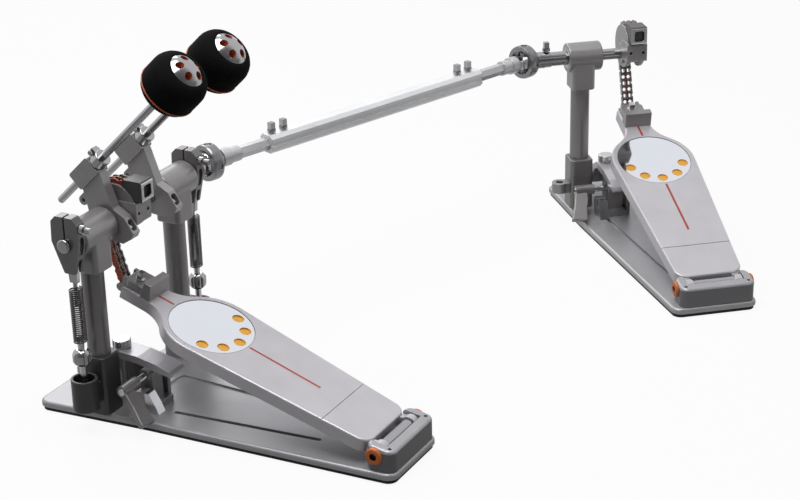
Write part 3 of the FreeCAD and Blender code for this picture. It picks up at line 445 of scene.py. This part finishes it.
def board_zones() -> list[Zone]:
    """Mark a footboard.

    Returns:
        The two red lines and the dark ring round the disc.
    """
    return [
        Zone(RED, 0.4, 0.0, low=(-1.4, 92.6, 5.0), high=(1.4, 180.0, 9.0)),
        Zone(RED, 0.4, 0.0, low=(-1.4, 276.5, 5.0), high=(1.4, 296.0, 9.0)),
        Zone(DISC_RIM, 0.4, 0.5, low=(-99.0, 100.0, 3.0), high=(99.0, 300.0, 9.0),
             rounds=((0.0, DISC_AT),), radius=46.1, inner=45.4),
    ]


def ring_places(middle: float, ring: float, first: float, step: float) -> tuple[tuple[float, float], ...]:
    """Spread five places on a ring, in millimetres and degrees.

    Args:
        middle: The Y of the ring's middle.
        ring: The ring's radius.
        first: The first place's angle.
        step: The angle from one place to the next.

    Returns:
        The places.
    """
    angles = [math.radians(first + step * index) for index in range(5)]
    return tuple((ring * math.cos(angle), middle + ring * math.sin(angle)) for angle in angles)


def dimple_zone() -> Zone:
    """Return the gold dimples of a disc."""
    return Zone(GOLD, 0.32, 0.5, rounds=ring_places(DISC_AT, 35.5, -162.0, 36.0), radius=6.5)


def cap_zone() -> Zone:
    """Return the red core seen through the holes of a beater's cap."""
    return Zone(CORE_RED, 0.5, 0.0, low=(-99.0, -99.0, 190.0), rounds=ring_places(ROD_AT, 11.5, 0.0, 72.0),
                radius=4.05)


@dataclass
class Dresser:
    """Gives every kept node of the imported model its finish."""

    nodes: dict[str, bpy.types.Object]

    def put(self, names: Sequence[str], look: Look, place: Place, zones: Sequence[Zone] = ()) -> None:
        """Give nodes one finish.

        Args:
            names: The nodes.
            look: Their finish.
            place: The frame of its patterns.
            zones: Parts with their own finish, some of them painted shade.
        """
        material = look.value.make(f"{look.name.lower()}_{names[0]}", place, zones)
        for name in names:
            mesh = self.nodes[name].data
            mesh.materials.clear()
            mesh.materials.append(material)
            LOG.info("dressed %s as %s", name, look.name.lower())

    def pedal(self, name: str, place: Place, board: Place, post: float) -> None:
        """Dress one pedal.

        Args:
            name: The pedal's prefix.
            place: The pedal's frame.
            board: Its footboard's frame.
            post: The X of the post beside the hoop clamp.
        """
        pin = Zone(BRIGHT, 0.14, 1.0, low=(post - 18.0, -41.2, 40.8), high=(post + 60.0, -32.8, 49.2))
        rest = Zone(BRIGHT, 0.22, 1.0, low=(post + 10.5, -64.0, 11.05), high=(post + 23.5, -45.2, 34.0))
        # Painted shade: each post's socket is darkened, the main pedal's more than the second's.
        tone = MAIN_SOCKET_SHADE if name == "main" else SECOND_SOCKET_SHADE
        socket = Zone(tone, 0.36, 0.4, low=(post - 16.0, -16.5, 11.5), high=(post + 16.0, 16.5, 77.05))
        self.put([f"{name}_base_plate"], Look.BASE, place)
        self.put([f"{name}_floor_mat"], Look.MAT, place)
        self.put([f"{name}_post_castings"], Look.CASTING, place, [socket, pin, rest])
        # Painted shade: the heel block's front face is darkened.
        heel_shade = Zone(HEEL_FRONT_SHADE, 0.34, 0.5, high=(OPEN_END, -309.0, 31.5))
        self.put([f"{name}_heel_block"], Look.BASE, place, [heel_shade])
        self.put([f"{name}_post_tubes"], Look.TUBE, place)
        self.put([f"{name}_axle_bearings"], Look.STEEL, place)
        bushing = Zone(ORANGE, 0.40, 0.0, low=(41.05, -OPEN_END, -OPEN_END), mirrored=True)
        # Painted shade: the hollow at each end of the hinge is painted black.
        hollow_shade = Zone(HOLLOW_SHADE, 0.5, 0.0, low=(43.5, -324.05, 22.95), high=(47.0, -315.95, 31.05), mirrored=True)
        self.put([f"{name}_hinge_set"], Look.CHROME, place, [bushing, hollow_shade])
        screw = Zone(BRIGHT, 0.12, 1.0, low=(-999.0, -13.0, 68.45), high=(999.0, 9.0, 99.0))
        self.put([f"{name}_clamp_arm"], Look.BOARD, place, [screw])
        self.put([f"{name}_clamp_lever"], Look.TUBE, place)
        self.put([f"{name}_footboard"], Look.BOARD, board, board_zones())
        bolt = Zone(BRIGHT, 0.12, 1.0, low=(-8.0, 312.0, 15.05), high=(2.0, 328.0, 30.0))
        self.put([f"{name}_toe_block"], Look.CASTING, board, [bolt])
        self.put([f"{name}_board_disc"], Look.MIRROR, board, [dimple_zone()])
        block = Zone(CAM_BLOCK, 0.34, 0.4, low=(-10.2, -37.3, 232.55), high=(10.2, -12.0, 255.2))
        face = Zone(BRIGHT, 0.22, 1.0, low=(-10.2, -37.3, 232.55), high=(10.2, -36.4, 255.2))
        self.put([f"{name}_cam"], Look.CASTING, place, [block, face])
        plates = Zone(CHAIN_RED, 0.4, 0.2, low=(-0.9, -99.0, 0.0), high=(0.9, 99.0, 999.0))
        outer = Zone(CHAIN_RED, 0.4, 0.2, low=(-9.0, -99.0, 0.0), high=(-5.6, 99.0, 999.0))
        self.put([f"{name}_cam_chain", f"{name}_chain_run", f"{name}_chain_link_1", f"{name}_chain_link_2"],
                 Look.CHAIN, place, [plates, outer] if name == "main" else [plates])

    def run(self) -> None:
        """Dress all nodes."""
        self.pedal("main", Place.MAIN, Place.MAIN_BOARD, -55.0)
        self.pedal("second", Place.SECOND, Place.SECOND_BOARD, -65.0)
        self.put(["main_axle", "far_shaft"], Look.CHROME, Place.MAIN)
        self.put(["second_axle"], Look.CHROME, Place.SECOND)
        self.put(["near_beater_holder", "far_beater_holder"], Look.HOLDER, Place.MAIN)
        self.put(["left_rocker", "right_rocker"], Look.ROCKER, Place.MAIN)
        self.put(["near_holder_hardware", "far_holder_hardware", "left_hanger", "right_hanger"], Look.CHROME,
                 Place.MAIN)
        self.put(["left_tension_nut", "right_tension_nut"], Look.CHROME, Place.MAIN)
        stud = Zone(BRIGHT, 0.2, 1.0, low=(-999.0, -999.0, 62.1))
        self.put(["spring_seats"], Look.DARK, Place.MAIN, [stud])
        self.put(["near_beater_rod"], Look.CHROME, Place.NEAR_ROD, [cap_zone()])
        self.put(["far_beater_rod"], Look.CHROME, Place.FAR_ROD, [cap_zone()])
        self.put(["main_drive_rod", "second_drive_rod"], Look.ROD, Place.SHAFT)
        self.put(["main_joint_ring", "second_joint_ring"], Look.RING, Place.SHAFT)
        self.put(["drive_sleeve"], Look.SLEEVE, Place.SHAFT)
        self.put(["sleeve_bolts"], Look.CHROME, Place.SHAFT)


def finish_piece(bm: bmesh.types.BMesh, name: str, move: Matrix, material: bpy.types.Material,
                 body: str) -> bpy.types.Object:
    """Turn a bmesh into a piece that rides on a body.

    Args:
        bm: The shape, in its own frame, in metres.
        name: The piece's name.
        move: Its place.
        material: Its material.
        body: The body it moves with.

    Returns:
        The piece.
    """
    bmesh.ops.remove_doubles(bm, verts=bm.verts, dist=1e-6)
    bmesh.ops.recalc_face_normals(bm, faces=bm.faces)
    bm.transform(move)
    mesh = bpy.data.meshes.new(name)
    bm.to_mesh(mesh)
    bm.free()
    for face in mesh.polygons:
        face.use_smooth = True
    mesh.materials.append(material)
    piece = bpy.data.objects.new(name, mesh)
    bpy.context.scene.collection.objects.link(piece)
    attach(piece, body)
    LOG.info("made %s", name)
    return piece


def chain_of(bm: bmesh.types.BMesh, points: Sequence[Vector]) -> list[Any]:
    """Join points with edges.

    Args:
        bm: The mesh that gets them.
        points: The points, in order.

    Returns:
        The new vertices and edges.
    """
    verts = [bm.verts.new(point) for point in points]
    edges = [bm.edges.new(pair) for pair in zip(verts, verts[1:])]
    return verts + edges


@dataclass
class Beater:
    """A soft beater head: felt barrel, coloured ring and the seat of its cap."""

    name: str
    x: float
    body: str
    place: Place
    offset: float = 0.0502
    at: float = 0.178
    radius: float = 0.031
    half: float = 0.0235
    band_radius: float = 0.0304
    band_height: float = 0.0132
    band_wire: float = 0.0009

    def move(self) -> Matrix:
        """Return the rod frame's place in the model."""
        return (Matrix.Translation((self.x, 0.0, AXLE)) @ Matrix.Rotation(LEAN, 4, "X")
                @ Matrix.Translation((0.0, self.offset, 0.0)))

    def profile(self) -> list[Vector]:
        """Draw half of the barrel's section.

        Returns:
            The points from the rod side, round the swell, to the cap's seat.
        """
        low, high, r = self.at - self.half, self.at + self.half, self.radius
        shape = [(0.0042, low + 0.0006), (0.0090, low + 0.0001), (0.0140, low), (0.0180, low + 0.0008),
                 (0.0220, low + 0.0024), (0.0254, low + 0.0046), (0.0280, low + 0.0074),
                 (0.0298, low + 0.0108), (0.0308, low + 0.0146), (r, low + 0.0180),
                 (r, high - 0.0170), (0.0308, high - 0.0134), (0.0298, high - 0.0100),
                 (0.0282, high - 0.0066), (0.0258, high - 0.0036), (0.0228, high - 0.0014),
                 (0.0200, high - 0.0004), (0.0190, high - 0.0006), (0.0186, high - 0.0016),
                 (0.0186, high - 0.0042), (0.0042, high - 0.0042)]
        return [Vector((r_, 0.0, z)) for r_, z in shape]

    def felt(self, material: bpy.types.Material) -> bpy.types.Object:
        """Spin the felt barrel, in place of the plain solid.

        Args:
            material: The felt.

        Returns:
            The barrel.
        """
        bm = bmesh.new()
        geom = chain_of(bm, self.profile())
        bmesh.ops.spin(bm, geom=geom, cent=(0, 0, 0), axis=(0, 0, 1), dvec=(0, 0, 0), angle=2 * math.pi,
                       steps=ROUND_STEPS, use_merge=True)
        piece = finish_piece(bm, f"{self.name}_felt_barrel", self.move(), material, self.body)
        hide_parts(f"{self.name}_beater_head")
        return piece

    def band(self, material: bpy.types.Material) -> bpy.types.Object:
        """Spin the thin coloured ring round the rod end of the barrel.

        Args:
            material: The ring's finish.

        Returns:
            The ring.
        """
        bm = bmesh.new()
        centre = Vector((self.band_radius, 0.0, self.at - self.half + self.band_height))
        ring = bmesh.ops.create_circle(bm, segments=12, radius=self.band_wire)["verts"]
        bmesh.ops.rotate(bm, verts=ring, cent=(0, 0, 0), matrix=Matrix.Rotation(math.pi / 2, 3, "X"))
        bmesh.ops.translate(bm, verts=ring, vec=centre)
        geom = list(bm.verts) + list(bm.edges)
        bmesh.ops.spin(bm, geom=geom, cent=(0, 0, 0), axis=(0, 0, 1), dvec=(0, 0, 0), angle=2 * math.pi,
                       steps=ROUND_STEPS, use_merge=True)
        return finish_piece(bm, f"{self.name}_felt_ring", self.move(), material, self.body)


@dataclass
class CoilSpring:
    """A return spring wound round the line from its foot to its hanger."""

    name: str
    x: float
    y: float = -0.003
    foot: float = 0.106
    low: float = 0.103
    high: float = 0.163
    radius: float = 0.0064
    wire: float = 0.00085
    turns: int = 26
    steps: int = 28
    sides: int = 10

    def build(self, material: bpy.types.Material) -> bpy.types.Object:
        """Wind the spring, in place of its solid.

        Args:
            material: The wire's finish.

        Returns:
            The spring.
        """
        rise = (self.high - self.low) / self.turns
        bm = bmesh.new()
        ring = bmesh.ops.create_circle(bm, segments=self.sides, radius=self.wire, cap_ends=True)["verts"]
        slope = math.atan2(rise, 2 * math.pi * self.radius)
        turn = Matrix.Rotation(slope, 3, "X") @ Matrix.Rotation(math.pi / 2, 3, "X")
        bmesh.ops.rotate(bm, verts=ring, cent=(0, 0, 0), matrix=turn)
        bmesh.ops.translate(bm, verts=ring, vec=(self.radius, 0.0, self.low - self.foot))
        geom: list[Any] = list(bm.verts) + list(bm.edges) + list(bm.faces)
        bmesh.ops.spin(bm, geom=geom, cent=(0, 0, 0), axis=(0, 0, 1), dvec=(0.0, 0.0, rise / self.steps),
                       angle=2 * math.pi * self.turns, steps=self.steps * self.turns)
        move = Matrix.Translation((self.x, self.y, self.foot))
        piece = finish_piece(bm, f"{self.name}_coil", move, material, f"{self.name}_spring_body")
        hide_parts(f"{self.name}_spring")
        return piece


@dataclass
class Studio:
    """The floor, the soft lamps, the white surround and the camera."""

    eye: Triple = (-1.4983, -1.1565, 0.9720)
    yaw: float = math.radians(-61.11)
    pitch: float = math.radians(23.38)
    roll: float = math.radians(-1.33)
    lens: float = 87.66

    def camera(self) -> None:
        """Stand the camera where the photograph was taken from."""
        data = bpy.data.cameras.new("camera")
        data.lens = self.lens
        data.sensor_width = 36.0
        data.clip_end = 20.0
        level = math.cos(self.pitch)
        ahead = Vector((-math.sin(self.yaw) * level, math.cos(self.yaw) * level, -math.sin(self.pitch)))
        right = Vector((math.cos(self.yaw), math.sin(self.yaw), 0.0))
        up = right.cross(ahead)
        c, s = math.cos(self.roll), math.sin(self.roll)
        across, over = right * c + up * s, up * c - right * s
        turn = Matrix((across, over, -ahead)).transposed().to_4x4()
        obj = bpy.data.objects.new("camera", data)
        obj.matrix_world = Matrix.Translation(self.eye) @ turn
        bpy.context.scene.collection.objects.link(obj)
        bpy.context.scene.camera = obj

    def lamp(self, name: str, place: Triple, target: Triple, size: float, watts: float) -> None:
        """Hang one soft square lamp.

        Args:
            name: The lamp's name.
            place: Where it hangs.
            target: The point that it faces.
            size: The length of its side.
            watts: Its power.
        """
        data = bpy.data.lights.new(name, "AREA")
        data.size = size
        data.energy = watts
        obj = bpy.data.objects.new(name, data)
        way = Vector(target) - Vector(place)
        obj.matrix_world = Matrix.Translation(place) @ way.to_track_quat("-Z", "Y").to_matrix().to_4x4()
        bpy.context.scene.collection.objects.link(obj)

    def world(self) -> None:
        """Make the surround white to the eye, dim on one side in reflections, and else a soft light."""
        surround = bpy.data.worlds.new("surround")
        surround.use_nodes = True
        graph = Graph(surround.node_tree)
        rays = graph.node("ShaderNodeLightPath", out="Is Camera Ray")
        outputs = rays.socket.node.outputs
        glossy, clear = Sock(graph, outputs["Is Glossy Ray"]), Sock(graph, outputs["Is Transmission Ray"])
        way = graph.node("ShaderNodeTexCoord", out="Generated")
        sky = graph.ramp(graph.dot(way, DIM_SIDE) * 0.5 + 0.5,
                         [(0.0, BRIGHT_WALL), (0.45, BRIGHT_WALL),
                          (0.66, (0.28, 0.28, 0.29)), (1.0, (0.10, 0.10, 0.105))])
        seen = graph.mix(rays, sky, WHITE)
        shown = graph.node("ShaderNodeBackground", None, {"Color": seen, "Strength": 1.0})
        soft = graph.node("ShaderNodeBackground", None, {"Color": (0.95, 0.97, 1.0), "Strength": 0.15})
        direct = rays.most(glossy).most(clear)
        both = graph.node("ShaderNodeMixShader", None, {0: direct, 1: soft, 2: shown})
        graph.node("ShaderNodeOutputWorld", None, {"Surface": both})
        bpy.context.scene.world = surround

    def floor(self) -> None:
        """Lay the plain pale floor, which keeps a faint shadow."""
        bm = bmesh.new()
        bmesh.ops.create_grid(bm, x_segments=1, y_segments=1, size=9.0)
        mesh = bpy.data.meshes.new("floor")
        bm.to_mesh(mesh)
        bm.free()
        material = bpy.data.materials.new("pale_floor")
        material.use_nodes = True
        graph = Graph(material.node_tree)
        rays = graph.node("ShaderNodeLightPath", out="Is Camera Ray")
        glossy = Sock(graph, rays.socket.node.outputs["Is Glossy Ray"])
        spot = graph.node("ShaderNodeTexCoord", out="Object")
        sheen = graph.ramp((graph.dot(spot, DIM_SIDE) * 1.5 + 0.5).clamped(),
                           [(0.0, (0.85, 0.85, 0.86)), (1.0, (0.24, 0.24, 0.245))])
        tone = graph.mix(rays, (0.25, 0.25, 0.25), (0.80, 0.80, 0.80))
        plain = graph.node("ShaderNodeBsdfDiffuse", None, {"Color": tone})
        shown = graph.mix(rays, sheen, WHITE)
        glow = graph.node("ShaderNodeEmission", None, {"Color": shown, "Strength": 1.0})
        direct = (rays * 0.92).most(glossy * 0.9)
        both = graph.node("ShaderNodeMixShader", None, {0: direct, 1: plain, 2: glow})
        graph.node("ShaderNodeOutputMaterial", None, {"Surface": both})
        mesh.materials.append(material)
        obj = bpy.data.objects.new("floor", mesh)
        obj.location = (0.0, 0.0, -0.0005)
        bpy.context.scene.collection.objects.link(obj)

    def build(self) -> None:
        """Set up the whole studio."""
        bpy.context.scene.view_settings.view_transform = "Standard"
        self.camera()
        self.world()
        self.floor()
        middle = (0.35, -0.15, 0.1)
        self.lamp("top", (-0.1, 0.0, 2.3), middle, 1.8, 46.0)
        self.lamp("back", (1.5, 1.5, 1.6), middle, 1.2, 14.0)
        self.lamp("fill", (0.2, -2.0, 1.2), middle, 1.0, 2.5)


def main() -> None:
    """Build the scene."""
    logging.basicConfig(level=logging.INFO, format="%(message)s")
    Studio().build()
    Dresser(frame["nodes"]).run()
    ring = Look.BRASS_RED.value.make("ring_orange", Place.MAIN)
    for beater in (Beater("near", NEAR_BEATER, "near_beater", Place.NEAR_ROD),
                   Beater("far", FAR_BEATER, "far_beater", Place.FAR_ROD)):
        beater.felt(Look.FELT.value.make(f"felt_{beater.name}", beater.place))
        beater.band(ring)
    wire = Look.SPRING.value.make("spring_wire", Place.MAIN)
    for spring in (CoilSpring("left", -0.0875), CoilSpring("right", 0.1245)):
        spring.build(wire)


if __name__ == "__main__":
    main()
